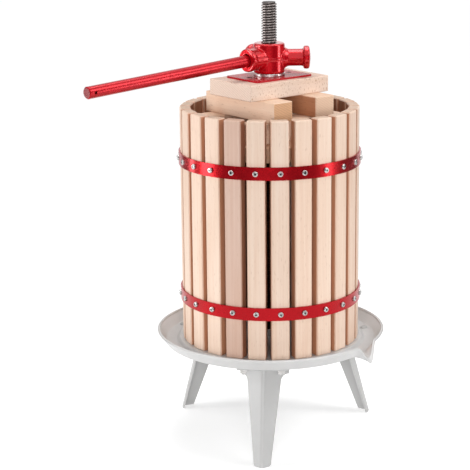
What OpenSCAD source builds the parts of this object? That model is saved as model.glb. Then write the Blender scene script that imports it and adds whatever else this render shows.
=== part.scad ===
// Basket fruit press: slatted beech basket on a three-legged pan, with a fixed
// threaded spindle, a cast screw head with a loose bar, and a stack of press blocks.
// Millimetres. The origin is on the spindle's axis, on the floor. +Z is up and
// the front of the press looks along -Y. Angles are plan angles from +X.

/* [Basket] */
// Clear diameter inside the basket
basket_inner_d = 246; // [200:1:300]
// Gap between two staves at their inner edges
stave_gap = 4.4; // [3:0.1:10]
// Thickness of a stave
stave_t = 17; // [10:0.5:20]
// Height of the basket
stave_h = 372; // [300:1:450]
// Chamfer along the edges of every stave
stave_chamfer = 1.5; // [0.5:0.1:3]
// Plan angle of the first stave
basket_turn = 6.3; // [0:0.1:15]

/* [Hoops] */
// Width of a hoop band
hoop_w = 20; // [14:1:30]
// Thickness of a hoop band
hoop_t = 2.5; // [1.5:0.1:4]
// Middle of the lower hoop above the foot of the basket
lower_hoop_up = 74; // [40:1:120]
// Middle of the upper hoop below the rim of the basket
upper_hoop_down = 79; // [40:1:120]
// Shank diameter of a hoop screw
screw_d = 4.4; // [3:0.1:6]
// Head diameter of a hoop screw
screw_head_d = 8.6; // [7:0.1:11]
// Height of a hoop screw's head
screw_head_h = 3; // [2:0.1:4]
// Wood left in the stave behind a hoop screw's tip
screw_wall = 5; // [3:0.5:6]

/* [Pan] */
// Height of the basket's seat above the floor
seat_h = 160.5; // [140:0.5:220]
// Thickness of the pan's sheet
pan_t = 1.6; // [1:0.1:2.5]
// Width of the seat outside the basket
seat_margin = 5; // [3:0.5:10]
// Depth of the juice gutter below the seat
gutter_depth = 5; // [3:0.5:8]
// Width of the gutter's floor
gutter_w = 17; // [15:0.5:26]
// Run of the pan's wall from the gutter out to the rim
wall_run = 14; // [10:0.5:20]
// Height of the rim above the seat
rim_up = 13; // [9:0.5:20]
// Diameter of the rolled rim
bead_d = 4; // [3:0.1:6]
// Bend radius of the pan's sheet
pan_bend = 3.5; // [2:0.5:5]

/* [Spout] */
// Plan angle of the spout
spout_turn = -33; // [-40:1:-26]
// Width of the spout at the rim
spout_w = 40; // [30:1:50]
// Drop of the spout's tip below the rim
spout_drop = 29; // [26:0.5:34]
// Reach of the spout's tip beyond the rim
spout_reach = 4; // [1:0.5:8]
// Radius of the spout's channel
spout_r = 6; // [3:0.5:8]

/* [Legs] */
// Plan angle of the first leg
leg_turn = -94.7; // [-100:0.1:-88]
// Reach of the feet past the rim of the pan
foot_out = 1.5; // [-10:0.5:20]
// Splay of a leg from upright
leg_splay = 15.7; // [10:0.1:18]
// Thickness of a leg's sheet
leg_t = 2.5; // [1.5:0.1:4]
// Included angle of a leg's section
leg_angle = 103; // [90:1:116]
// Bend radius on the ridge of a leg
leg_bend = 6; // [4:0.5:8]
// Width of a leg at its foot
foot_w = 27; // [20:1:34]
// Rounding of the two corners at the foot of a leg
foot_round = 6; // [3:0.5:9]
// Width of a leg below its ears
shin_w = 52; // [44:1:60]
// Width of the ears outside the bolts' washers
ear_margin = 2.4; // [1:0.1:8]
// Height of the ears
ear_h = 24; // [16:1:28]
// Spacing of the two bolts of a leg
leg_bolt_pitch = 58; // [52:1:62]
// Diameter of a leg bolt
leg_bolt_d = 6; // [4:0.5:7]

/* [Spindle] */
// Diameter of the spindle over its thread
spindle_d = 24; // [18:0.5:30]
// Length of spindle above the head
spindle_above = 63; // [20:1:90]
// Length of spindle below the lower nut
spindle_below = 4; // [1:0.5:20]
// Width across flats of the spindle nuts
nut_flats = 36; // [32:1:46]
// Height of a spindle nut
nut_h = 12; // [8:0.5:20]
// Diameter of the backing plate under the pan
backing_d = 120; // [90:1:160]
// Thickness of the backing plate
backing_t = 5; // [3:0.5:8]

/* [Press stack] */
// Plan angle of the stack's long block
stack_turn = 40.3; // [30:0.1:60]
// Clearance between the press boards and the staves
board_clear = 5; // [3:0.5:10]
// Thickness of the press boards
board_t = 24; // [16:1:34]
// Depth of the press boards' tops below the basket's rim
board_drop = 44; // [30:0.5:80]
// Gap between the two press boards
board_gap = 2; // [1:0.5:6]
// Width of a bar
bar_w = 38; // [28:1:44]
// Height of a bar
bar_h = 32; // [20:1:36]
// Spacing of the two upper bars
bar_pitch = 85; // [74:1:100]
// How far the upper bars' corners stay inside the boards' edge
bar_inset = 15.5; // [6:0.5:26]
// Spacing of the two lower bars
lower_bar_pitch = 104; // [90:1:120]
// How far the lower bars' corners stay inside the boards' edge
lower_bar_inset = 5; // [2:0.5:20]
// Overhang of the top block past the bars
block_over = 17.5; // [8:0.5:24]
// Width of the top block
block_w = 100; // [80:1:120]
// Height of the top block
block_h = 25; // [18:1:34]
// Chamfer along the edges of bars, block and boards
wood_chamfer = 1.2; // [0.5:0.1:3]
// Length of the pressure plate
plate_l = 112; // [104:1:140]
// Width of the pressure plate
plate_w = 77; // [60:1:80]
// Thickness of the pressure plate
plate_t = 3; // [2:0.5:6]
// Corner radius of the pressure plate
plate_corner = 5; // [2:0.5:10]
// Distance of a plate screw from the end of the plate
plate_screw_in = 16; // [10:0.5:22]
// Shank diameter of a plate screw
plate_screw_d = 4; // [3:0.1:5]
// Clearance of the wood and the plate around the spindle
bore_clear = 3; // [2:0.5:6]

/* [Screw head] */
// Thickness of the thrust washer under the head
thrust_t = 4; // [2:0.5:6]
// Diameter of the boss
boss_d = 49; // [44:1:60]
// Height of the boss
boss_h = 46.5; // [42:0.5:60]
// Rounding of the boss's edges
boss_round = 3; // [1:0.5:5]
// Height of the socket's axis above the foot of the boss
arm_up = 23; // [20:0.5:26]
// Plan angle of the socket that holds the bar
arm_turn = 222.8; // [200:0.1:240]
// Angle between the two sockets
arm_spread = 90; // [80:1:110]
// Diameter of a socket's arm
arm_d = 34; // [30:0.5:38]
// Distance of the bar's socket mouth from the spindle's axis
mouth_out = 48; // [44:0.5:60]
// Distance of the spare socket's mouth from the spindle's axis
spare_out = 41; // [38:0.5:60]
// Wall between a socket and the spindle's bore
socket_wall = 7; // [3:0.5:10]
// Diameter of the collar round a socket
collar_d = 36; // [32:0.5:42]
// Length of the collar
collar_l = 8; // [5:0.5:14]
// Plan angle of the stub
stub_turn = 3; // [-10:1:30]
// Diameter of the stub
stub_d = 26.5; // [20:0.5:32]
// Flare of the stub where it leaves the boss
stub_flare = 3; // [1:0.5:4]
// Distance of the stub's end from the spindle's axis
stub_out = 65; // [56:0.5:80]
// Diameter of the stub's button
button_d = 36; // [33:0.5:42]
// Thickness of the stub's button
button_t = 12; // [9:0.5:14]
// Height of the parting ridge above the casting
ridge_h = 1; // [0.4:0.1:1.5]
// Width of the parting ridge
ridge_w = 2.4; // [1:0.1:4]

/* [Handle] */
// Diameter of the bar
handle_d = 18.2; // [16:0.1:22]
// Length of the bar
handle_l = 333; // [260:1:420]
// Play of the bar in its socket, on the diameter
socket_play = 1.9; // [1:0.1:2.4]
// Chamfer on the bar's ends
handle_chamfer = 1.5; // [0.5:0.1:3]
// Diameter of the cross hole near the bar's end
eye_d = 5; // [3:0.1:8]
// Distance of the cross hole from the bar's end
eye_in = 10; // [7:0.5:30]

/* [Hidden] */
$fn = 64;
// Points on each rounded bend of a sheet or edge
arc_steps = 6;
// Running clearance of the screw head on the spindle, on the radius
run_gap = 0.06;
// Clearance of a screw or bolt in a hole of its own body, on the radius
hole_gap = 0.2;
// Clearance of a screw in its pilot hole, on the radius
pilot_gap = 0.05;
// Clearance of the bar where it bears in its socket
bear_gap = 0.3;
// Clearance of the thrust washer round the spindle, on the radius
washer_gap = 0.5;
// Width of a leg's flange beyond its ears
flange_lip = 1;
// Depth below the floor at which the rounding of a foot would start
toe_sink = 0.5;
// Clearance of the hoops round the staves
hoop_gap = 0.1;
// Chamfer on the rims of plain metal discs
metal_chamfer = 1;
// Overshoot of a cutting shape past the face that it cuts
over = 1;
// Length that reaches past the whole press
far = 1000;

// Basket
stave_count = 24;
stave_step = 360 / stave_count;
stave_in_r = basket_inner_d / 2;
stave_w = 2 * stave_in_r * tan(stave_step / 2) - stave_gap;
stave_out_r = stave_in_r + stave_t;
stave_top = seat_h + stave_h;
flat_half = stave_w / 2 - stave_chamfer;
basket_r = norm([stave_out_r, flat_half]);
hoop_in_r = basket_r + hoop_gap;
hoop_out_r = hoop_in_r + hoop_t;
hoop_levels = [seat_h + lower_hoop_up, stave_top - upper_hoop_down];
screw_r = screw_d / 2;
screw_bite = stave_t - screw_wall;

// Pan
pan_hole_r = spindle_d / 2 + hole_gap;
seat_r = basket_r + seat_margin;
gutter_z = seat_h - gutter_depth;
gutter_in_r = seat_r + gutter_depth;
gutter_out_r = gutter_in_r + gutter_w;
rim_z = seat_h + rim_up;
rim_r = gutter_out_r + wall_run;
bead_r = bead_d / 2;
bead_centre = [rim_r - bead_r, rim_z - bead_r];
tip_r = rim_r + spout_reach;
tip_z = rim_z - spout_drop;
spout_slope = atan2(gutter_z - tip_z, tip_r - gutter_in_r);
spout_floor_at_rim = gutter_z - (rim_r - gutter_in_r) * tan(spout_slope);
spout_side = [spout_w / 2, (rim_z - spout_floor_at_rim) * cos(spout_slope)];
mouth_r = sqrt(rim_r * rim_r - spout_w * spout_w / 4);
spout_lean = atan2(tip_r - mouth_r, spout_drop);

// Legs
leg_count = 3;
foot_r = rim_r + foot_out;
flange_top = gutter_z - pan_t;
flange_z = flange_top - leg_t;
ridge_run = tan(leg_splay);
wing_run = tan(leg_angle / 2);
leg_bolt_r = leg_bolt_d / 2;
bolt_head_r = 0.9 * leg_bolt_d;
bolt_head_h = 0.5 * leg_bolt_d;
bolt_circle = gutter_in_r + pan_bend / 2 + bolt_head_r;
bolt_radial = sqrt(bolt_circle * bolt_circle - leg_bolt_pitch * leg_bolt_pitch / 4);
washer_t = 1.6;
washer_r = 1.1 * leg_bolt_d;
leg_nut_h = 0.8 * leg_bolt_d;
leg_nut_flats = 1.67 * leg_bolt_d;
bolt_end = flange_z - washer_t - leg_nut_h - leg_bolt_d / 3;
ear_w = leg_bolt_pitch + 2 * (washer_r + ear_margin);

// Spindle and its nuts
spindle_r = spindle_d / 2;
backing_top = seat_h - pan_t;
low_nut_top = backing_top - backing_t;
spindle_foot = low_nut_top - nut_h - spindle_below;

// Press stack, from the boards up
board_r = stave_in_r - board_clear;
board_top = stave_top - board_drop;
board_z = board_top - board_t;
lower_bar_top = board_top + bar_h;
bar_top = lower_bar_top + bar_h;
block_top = bar_top + block_h;
plate_top = block_top + plate_t;
bore_r = spindle_r + bore_clear;
bar_l = chord(board_r - bar_inset, (bar_pitch + bar_w) / 2);
lower_bar_l = chord(board_r - lower_bar_inset, (lower_bar_pitch + bar_w) / 2);
block_l = bar_pitch + bar_w + 2 * block_over;
plate_screw_r = plate_screw_d / 2;
plate_head_r = 2 * plate_screw_r;
plate_screw_l = plate_t + 0.6 * block_h;
plate_screw_pitch = plate_l - 2 * plate_screw_in;
plate_sink = plate_head_r - plate_screw_r;

// Screw head and its bar
boss_r = boss_d / 2;
head_bore_r = spindle_r + run_gap;
boss_z = plate_top + thrust_t;
boss_top = boss_z + boss_h;
arm_z = boss_z + arm_up;
handle_r = handle_d / 2;
socket_r = handle_r + socket_play / 2;
collar_r = collar_d / 2;
arm_r = arm_d / 2;
socket_in = head_bore_r + socket_wall;
socket_depth = mouth_out - socket_in;
spare_turn = arm_turn - arm_spread;
stub_r = stub_d / 2;
button_r = button_d / 2;
droop = atan2(socket_play / 2 - bear_gap, socket_depth / 2);
spindle_top = boss_top + spindle_above;

beech = [0.87, 0.70, 0.55];
red = [0.78, 0.06, 0.09];
white = [0.88, 0.88, 0.87];
steel = [0.45, 0.43, 0.41];
zinc = [0.75, 0.75, 0.74];

stave_names = [for (i = [1 : stave_count]) str("stave_", i < 10 ? "0" : "", i)];
leg_names = ["front_leg", "right_leg", "left_leg"];

// Plane geometry of sheets and rounded outlines

function unit(v) = v / norm(v);
// Length of a circle's chord at a distance from its centre
function chord(r, distance) = 2 * sqrt(r * r - distance * distance);
function left_normal(a, b) = let (d = unit(b - a)) [-d[1], d[0]];
function reversed(list) = [for (i = [len(list) - 1 : -1 : 0]) list[i]];
function turn_between(a, b) = let (d = b - a) d > 180 ? d - 360 : d < -180 ? d + 360 : d;

// The arc that rounds the corner b of the path a, b, c
function corner_arc(a, b, c, r) =
    let (u = unit(a - b), v = unit(c - b), half = acos(u * v) / 2)
    let (centre = b + unit(u + v) * r / sin(half))
    let (p = b + u * r / tan(half) - centre, q = b + v * r / tan(half) - centre)
    let (start = atan2(p[1], p[0]), sweep = turn_between(start, atan2(q[1], q[0])))
    [for (i = [0 : arc_steps]) let (t = start + sweep * i / arc_steps) centre + r * [cos(t), sin(t)]];

// A path with every inner corner rounded
function rounded(path, r) = concat(
    [path[0]],
    [for (i = [1 : len(path) - 2]) each corner_arc(path[i - 1], path[i], path[i + 1], r)],
    [path[len(path) - 1]]);

// A path moved to its left by d
function moved(path, d) = [for (i = [0 : len(path) - 1])
    let (n1 = left_normal(path[max(i - 1, 0)], path[max(i, 1)]))
    let (n2 = left_normal(path[min(i, len(path) - 2)], path[min(i + 1, len(path) - 1)]))
    let (m = unit(n1 + n2))
    path[i] + m * d / (m * n1)];

// The outline of a sheet whose left face is the path
function sheet(path, t) = concat(path, reversed(moved(path, -t)));

function chamfered_rect(w, h, c) = [
    [-w / 2 + c, -h / 2], [w / 2 - c, -h / 2], [w / 2, -h / 2 + c], [w / 2, h / 2 - c],
    [w / 2 - c, h / 2], [-w / 2 + c, h / 2], [-w / 2, h / 2 - c], [-w / 2, -h / 2 + c]];

// Half outline of a screw's or bolt's head with a rounded crown, standing on y = 0
function head_outline(r, h) = concat(
    [[0, 0], [r, 0]],
    corner_arc([r, 0], [r, h], [0, h], 0.6 * h),
    [[0, h]]);

// Shared shapes

// A block, centred in plan and standing on z = 0, with all twelve edges chamfered
module chamfered_block(size, c) {
    translate([0, 0, size[2] / 2])
        intersection() {
            linear_extrude(size[2], center = true)
                polygon(chamfered_rect(size[0], size[1], c));
            rotate([90, 0, 0])
                linear_extrude(size[1], center = true)
                    polygon(chamfered_rect(size[0], size[2], c));
            rotate([90, 0, 90])
                linear_extrude(size[0], center = true)
                    polygon(chamfered_rect(size[1], size[2], c));
        }
}

// A disc with both rims chamfered
module chamfered_disc(r, h, c) {
    rotate_extrude()
        polygon([[0, 0], [r - c, 0], [r, c], [r, h - c], [r - c, h], [0, h]]);
}

// A hexagon nut standing on z = 0
module hex_nut(flats, h, hole_r) {
    corner_r = flats / 2 / cos(30);
    bevel = (corner_r - flats / 2) / 2;
    difference() {
        intersection() {
            cylinder(h = h, r = corner_r, $fn = 6);
            chamfered_disc(corner_r, h, bevel);
        }
        translate([0, 0, -over])
            cylinder(h = h + 2 * over, r = hole_r);
    }
}

// Basket

// Puts a child at a stave's plan angle
module at_stave(i) {
    rotate([0, 0, basket_turn + i * stave_step])
        children();
}

module stave(i) {
    color(beech)
        at_stave(i)
            difference() {
                translate([stave_in_r + stave_t / 2, 0, seat_h])
                    chamfered_block([stave_t, stave_w, stave_h], stave_chamfer);
                for (z = hoop_levels)
                    translate([stave_out_r - screw_bite, 0, z])
                        rotate([0, 90, 0])
                            cylinder(h = screw_bite + over, r = screw_r + pilot_gap);
            }
}

module hoop(z) {
    color(red)
        difference() {
            translate([0, 0, z - hoop_w / 2])
                difference() {
                    cylinder(h = hoop_w, r = hoop_out_r, $fn = 96);
                    translate([0, 0, -over])
                        cylinder(h = hoop_w + 2 * over, r = hoop_in_r, $fn = 96);
                }
            for (i = [0 : stave_count - 1])
                at_stave(i)
                    translate([stave_out_r, 0, z])
                        rotate([0, 90, 0])
                            cylinder(h = hoop_out_r - stave_out_r + over, r = screw_r + hole_gap);
        }
}

// A pan-head screw pointing inwards, its head on the hoop
module hoop_screw() {
    shank = hoop_out_r - stave_out_r + screw_bite;
    rotate([0, 90, 0]) {
        translate([0, 0, -shank])
            cylinder(h = shank, r = screw_r, $fn = 32);
        rotate_extrude($fn = 32)
            polygon(head_outline(screw_head_d / 2, screw_head_h));
    }
}

module hoop_screws(z) {
    color(zinc)
        for (i = [0 : stave_count - 1])
            at_stave(i)
                translate([hoop_out_r, 0, z])
                    hoop_screw();
}

// Pan

// Upper face of the pan's sheet, from the spindle hole to the rim
pan_path = rounded(
    [[pan_hole_r, seat_h], [seat_r, seat_h], [gutter_in_r, gutter_z], [gutter_out_r, gutter_z],
     bead_centre], pan_bend);

module pan_dish() {
    rotate_extrude($fn = 96)
        polygon(sheet(pan_path, pan_t));
    rotate_extrude($fn = 96)
        translate(bead_centre)
            circle(r = bead_r, $fn = 32);
}

// The room inside the pan, above its sheet
module pan_room() {
    rotate_extrude($fn = 96)
        polygon(concat(
            [[0, seat_h]], pan_path, [[bead_centre[0], rim_z + over], [0, rim_z + over]]));
}

// Turns an outline drawn across the spout into a channel that runs out and down
module along_spout() {
    rotate([0, 0, spout_turn])
        translate([gutter_in_r, 0, gutter_z])
            rotate([0, 90 + spout_slope, 0])
                rotate([0, 0, 90])
                    linear_extrude(2 * (tip_r - gutter_in_r))
                        children();
}

// Inner face of the spout's V, carried on above the rim
spout_edge = 1.4 * spout_side;
spout_v = rounded([[-spout_edge[0], spout_edge[1]], [0, 0], spout_edge], spout_r);

module spout_channel() {
    along_spout()
        polygon(spout_v);
}

module spout_sheet() {
    difference() {
        along_spout()
            polygon(sheet(spout_v, pan_t));
        pan_room();
        rotate([0, 0, spout_turn])
            translate([tip_r, 0, tip_z])
                rotate([0, -spout_lean, 0])
                    translate([0, -far / 2, -far / 2])
                        cube(far);
        translate([-far / 2, -far / 2, bead_centre[1]])
            cube(far);
    }
}

// Puts a child at a leg's plan angle
module at_leg(i) {
    rotate([0, 0, leg_turn + i * 360 / leg_count])
        children();
}

// Puts a child at both bolts of every leg
module at_leg_bolts() {
    for (i = [0 : leg_count - 1])
        for (side = [-1, 1])
            at_leg(i)
                translate([bolt_radial, side * leg_bolt_pitch / 2, 0])
                    children();
}

module pan() {
    color(white)
        difference() {
            union() {
                pan_dish();
                spout_sheet();
            }
            spout_channel();
            at_leg_bolts()
                translate([0, 0, gutter_z - pan_t - over])
                    cylinder(h = pan_t + 2 * over, r = leg_bolt_r + hole_gap);
        }
}

// Legs

// Puts a child on a leg's ridge: +Z up the ridge, +Y outwards
module on_ridge() {
    translate([foot_r, 0, 0])
        rotate([0, -leg_splay, 0])
            rotate([0, 0, -90])
                children();
}

// The leg seen from outside: rounded foot, straight shin, ears at the top
module leg_outline() {
    top = flange_z / cos(leg_splay);
    knee = top - ear_h;
    ear_r = (ear_w - shin_w) / 2;
    toe = foot_w / 2 - foot_round;
    toe_up = toe / wing_run * ridge_run - toe_sink;
    half = concat(
        [[toe, -far]],
        [for (i = [0 : arc_steps]) let (t = 90 * i / arc_steps)
            [toe + foot_round * sin(t), toe_up + foot_round * (1 - cos(t))]],
        [for (i = [0 : arc_steps]) let (t = 90 * i / arc_steps)
            [shin_w / 2 + ear_r * (1 - cos(t)), knee + ear_r * sin(t)]],
        [[ear_w / 2, top + far]]);
    polygon(concat(half, [for (p = reversed(half)) [-p[0], p[1]]]));
}

// The bent sheet of a leg before its outline is cut
module leg_angle_sheet() {
    side = ear_w * [sin(leg_angle / 2), -cos(leg_angle / 2)];
    linear_extrude(4 * flange_z, center = true)
        polygon(sheet(rounded([[-side[0], side[1]], [0, 0], side], leg_bend), leg_t));
}

// The flat top of a leg, from behind its wings out to the bolts
module leg_flange() {
    wing_end = foot_r - flange_z * ridge_run - ear_w / 2 / wing_run / cos(leg_splay);
    inner = wing_end - 2 * leg_t;
    outer = bolt_radial + washer_r;
    half_w = ear_w / 2 + flange_lip;
    difference() {
        translate([inner, -half_w, flange_z])
            cube([outer - inner, 2 * half_w, leg_t]);
        for (side = [-1, 1])
            translate([bolt_radial, side * leg_bolt_pitch / 2, flange_z - over])
                cylinder(h = leg_t + 2 * over, r = leg_bolt_r + hole_gap);
    }
}

module leg(i) {
    color(white)
        at_leg(i) {
            difference() {
                on_ridge()
                    intersection() {
                        leg_angle_sheet();
                        rotate([90, 0, 0])
                            linear_extrude(far, center = true)
                                leg_outline();
                    }
                translate([-far / 2, -far / 2, -far])
                    cube(far);
                translate([-far / 2, -far / 2, flange_z])
                    cube(far);
            }
            leg_flange();
        }
}

module leg_bolts() {
    color(white)
        at_leg_bolts() {
            translate([0, 0, bolt_end])
                cylinder(h = gutter_z - bolt_end, r = leg_bolt_r, $fn = 32);
            translate([0, 0, gutter_z])
                rotate_extrude($fn = 32)
                    polygon(head_outline(bolt_head_r, bolt_head_h));
        }
}

module leg_washers() {
    color(zinc)
        at_leg_bolts()
            translate([0, 0, flange_z - washer_t])
                difference() {
                    cylinder(h = washer_t, r = washer_r, $fn = 32);
                    translate([0, 0, -over])
                        cylinder(h = washer_t + 2 * over, r = leg_bolt_r + hole_gap, $fn = 32);
                }
}

module leg_nuts() {
    color(zinc)
        at_leg_bolts()
            translate([0, 0, flange_z - washer_t - leg_nut_h])
                hex_nut(leg_nut_flats, leg_nut_h, leg_bolt_r + pilot_gap);
}

// Spindle

module spindle() {
    bevel = 0.1 * spindle_d;
    color(steel)
        rotate_extrude()
            polygon([
                [0, spindle_foot], [spindle_r - bevel, spindle_foot], [spindle_r, spindle_foot + bevel],
                [spindle_r, spindle_top - bevel], [spindle_r - bevel, spindle_top], [0, spindle_top]]);
}

module backing_plate() {
    color(steel)
        translate([0, 0, low_nut_top])
            difference() {
                chamfered_disc(backing_d / 2, backing_t, metal_chamfer);
                translate([0, 0, -over])
                    cylinder(h = backing_t + 2 * over, r = spindle_r + hole_gap);
            }
}

module spindle_nut(z) {
    color(zinc)
        translate([0, 0, z])
            hex_nut(nut_flats, nut_h, spindle_r + pilot_gap);
}

// Press stack

// Turns a child with the stack's long block
module in_stack() {
    rotate([0, 0, stack_turn])
        children();
}

// Half of the round press board, on the side of the parting given by its sign
module press_board(side) {
    color(beech)
        in_stack()
            translate([0, 0, board_z])
                difference() {
                    chamfered_disc(board_r, board_t, wood_chamfer);
                    translate([0, 0, -over])
                        cylinder(h = board_t + 2 * over, r = bore_r);
                    translate([-far / 2, side > 0 ? board_gap / 2 - far : -board_gap / 2, -far / 2])
                        cube(far);
                }
}

// Lower bars lie along the top block, upper bars across it
module lower_bar(side) {
    color(beech)
        in_stack()
            translate([0, side * lower_bar_pitch / 2, board_top])
                chamfered_block([lower_bar_l, bar_w, bar_h], wood_chamfer);
}

module upper_bar(side) {
    color(beech)
        in_stack()
            translate([side * bar_pitch / 2, 0, lower_bar_top])
                chamfered_block([bar_w, bar_l, bar_h], wood_chamfer);
}

module top_block() {
    color(beech)
        in_stack()
            translate([0, 0, bar_top])
                difference() {
                    chamfered_block([block_l, block_w, block_h], wood_chamfer);
                    translate([0, 0, -over])
                        cylinder(h = block_h + 2 * over, r = bore_r);
                    for (side = [-1, 1])
                        translate([side * plate_screw_pitch / 2, 0, plate_top - bar_top - plate_screw_l])
                            cylinder(h = plate_screw_l, r = plate_screw_r + pilot_gap, $fn = 32);
                }
}

function rounded_rect(l, w, r) = [
    each corner_arc([0, -w / 2], [l / 2, -w / 2], [l / 2, 0], r),
    each corner_arc([l / 2, 0], [l / 2, w / 2], [0, w / 2], r),
    each corner_arc([0, w / 2], [-l / 2, w / 2], [-l / 2, 0], r),
    each corner_arc([-l / 2, 0], [-l / 2, -w / 2], [0, -w / 2], r)];

module pressure_plate() {
    color(red)
        in_stack()
            translate([0, 0, block_top])
                difference() {
                    linear_extrude(plate_t)
                        polygon(rounded_rect(plate_l, plate_w, plate_corner));
                    translate([0, 0, -over])
                        cylinder(h = plate_t + 2 * over, r = bore_r);
                    for (side = [-1, 1])
                        translate([side * plate_screw_pitch / 2, 0, 0])
                            plate_screw_hole();
                }
}

// Countersunk hole through the plate
module plate_screw_hole() {
    narrow = plate_screw_r + hole_gap;
    translate([0, 0, -over])
        cylinder(h = plate_t + 2 * over, r = narrow, $fn = 32);
    translate([0, 0, plate_t - plate_sink])
        cylinder(h = plate_sink + over, r1 = narrow, r2 = narrow + plate_sink + over, $fn = 32);
}

module plate_screws() {
    tip = over - plate_screw_l;
    color(steel)
        in_stack()
            for (side = [-1, 1])
                translate([side * plate_screw_pitch / 2, 0, plate_top])
                    rotate_extrude($fn = 32)
                        polygon([
                            [0, tip], [plate_screw_r, tip], [plate_screw_r, -plate_sink],
                            [plate_head_r, 0], [0, 0]]);
}

// Screw head

// Puts a child on an axis of the head: +Z outwards from the spindle
module on_arm(turn) {
    translate([0, 0, arm_z])
        rotate([0, 0, turn])
            rotate([0, 90, 0])
                children();
}

module boss() {
    translate([0, 0, boss_z])
        rotate_extrude()
            polygon(concat(
                [[0, 0]],
                corner_arc([0, 0], [boss_r, 0], [boss_r, boss_h], boss_round),
                corner_arc([boss_r, 0], [boss_r, boss_h], [0, boss_h], boss_round),
                [[0, boss_h]]));
}

module arm(turn, out) {
    on_arm(turn) {
        cylinder(h = out - collar_l + over, r = arm_r);
        translate([0, 0, out - collar_l])
            chamfered_disc(collar_r, collar_l, metal_chamfer);
    }
}

module socket(turn, out) {
    on_arm(turn)
        translate([0, 0, socket_in])
            cylinder(h = out - socket_in + over, r = socket_r);
}

module stub() {
    foot = boss_r - over;
    flare_r = stub_r + stub_flare;
    flare_end = foot + 2 * stub_flare;
    neck = stub_out - button_t;
    lip = (button_r - stub_r) / 2;
    dome = button_t / 4;
    on_arm(stub_turn)
        rotate_extrude()
            polygon(concat(
                [[0, 0], [flare_r, 0], [flare_r, foot]],
                corner_arc([flare_r, foot], [stub_r, flare_end], [stub_r, neck], stub_flare),
                corner_arc([stub_r, foot], [stub_r, neck], [button_r, neck], lip),
                corner_arc([stub_r, neck], [button_r, neck], [button_r, stub_out], lip),
                corner_arc([button_r, neck], [button_r, stub_out - dome], [0, stub_out], lip),
                [[0, stub_out]]));
}

// Raised line where the two halves of the casting's mould met
module parting_ridge() {
    translate([0, 0, arm_z - ridge_w / 2])
        linear_extrude(ridge_w) {
            circle(r = boss_r + ridge_h);
            rotate(arm_turn)
                arm_plan(mouth_out);
            rotate(spare_turn)
                arm_plan(spare_out);
            rotate(stub_turn)
                translate([0, -stub_r - ridge_h])
                    square([stub_out - button_t, 2 * (stub_r + ridge_h)]);
        }
}

// Outline of an arm and its collar seen from above, with the ridge added
module arm_plan(out) {
    side = arm_r + ridge_h;
    collar_side = collar_r + ridge_h;
    translate([0, -side])
        square([out - over, 2 * side]);
    translate([out - collar_l, -collar_side])
        square([collar_l - over, 2 * collar_side]);
}

module screw_head() {
    color(red)
        difference() {
            union() {
                boss();
                arm(arm_turn, mouth_out);
                arm(spare_turn, spare_out);
                stub();
                parting_ridge();
            }
            translate([0, 0, boss_z - over])
                cylinder(h = boss_h + 2 * over, r = head_bore_r);
            socket(arm_turn, mouth_out);
            socket(spare_turn, spare_out);
        }
}

module thrust_washer() {
    color(zinc)
        translate([0, 0, plate_top])
            difference() {
                chamfered_disc(boss_r, thrust_t, metal_chamfer / 2);
                translate([0, 0, -over])
                    cylinder(h = thrust_t + 2 * over, r = spindle_r + washer_gap);
            }
}

// Handle, tipped in its loose socket until it bears at both ends

module handle_bar() {
    inner = bear_gap + handle_r * sin(droop) - socket_depth / 2;
    color(red)
        on_arm(arm_turn)
            translate([0, 0, mouth_out - socket_depth / 2])
                rotate([0, droop, 0])
                    translate([0, 0, inner])
                        difference() {
                            chamfered_disc(handle_r, handle_l, handle_chamfer);
                            translate([0, 0, handle_l - eye_in])
                                rotate([90, 0, 0])
                                    cylinder(h = 2 * handle_d, r = eye_d / 2, center = true, $fn = 32);
                        }
}

for (i = [0 : stave_count - 1])
    stave(i);
for (i = [0 : leg_count - 1])
    leg(i);
hoop(hoop_levels[0]);  // lower_hoop
hoop(hoop_levels[1]);  // upper_hoop
hoop_screws(hoop_levels[0]);  // lower_hoop_screws
hoop_screws(hoop_levels[1]);  // upper_hoop_screws
pan();
backing_plate();
leg_bolts();
leg_washers();
leg_nuts();
spindle();
spindle_nut(seat_h);  // spindle_upper_nut
spindle_nut(low_nut_top - nut_h);  // spindle_lower_nut
press_board(-1);  // front_press_board
press_board(1);  // rear_press_board
lower_bar(-1);  // front_lower_bar
lower_bar(1);  // rear_lower_bar
upper_bar(-1);  // left_bar
upper_bar(1);  // right_bar
top_block();
pressure_plate();
plate_screws();
thrust_washer();
screw_head();
handle_bar();
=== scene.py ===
"""Looks of the basket fruit press: finishes, thread, screws, pan, casting, stage and camera.

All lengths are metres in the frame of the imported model: the origin is on the spindle's axis at
the floor, +Z is up and the front of the press looks along -Y.
"""

import math
import random

import bmesh
import bpy
from mathutils import Matrix, Vector


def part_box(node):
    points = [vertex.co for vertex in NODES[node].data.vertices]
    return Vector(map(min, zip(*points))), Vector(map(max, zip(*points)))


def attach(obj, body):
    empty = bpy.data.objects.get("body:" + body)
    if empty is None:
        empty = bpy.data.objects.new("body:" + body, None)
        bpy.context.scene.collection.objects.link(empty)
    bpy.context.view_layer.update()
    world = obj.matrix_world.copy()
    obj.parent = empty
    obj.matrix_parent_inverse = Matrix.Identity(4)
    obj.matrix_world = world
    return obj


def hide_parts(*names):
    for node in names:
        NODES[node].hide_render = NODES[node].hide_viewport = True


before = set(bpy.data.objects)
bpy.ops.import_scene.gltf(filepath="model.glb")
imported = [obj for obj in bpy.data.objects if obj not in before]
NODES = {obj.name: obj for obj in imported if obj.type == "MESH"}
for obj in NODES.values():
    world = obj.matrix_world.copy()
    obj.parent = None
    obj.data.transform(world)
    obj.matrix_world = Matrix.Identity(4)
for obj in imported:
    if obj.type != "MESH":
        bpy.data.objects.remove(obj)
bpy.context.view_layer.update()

MM = 0.001

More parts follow.
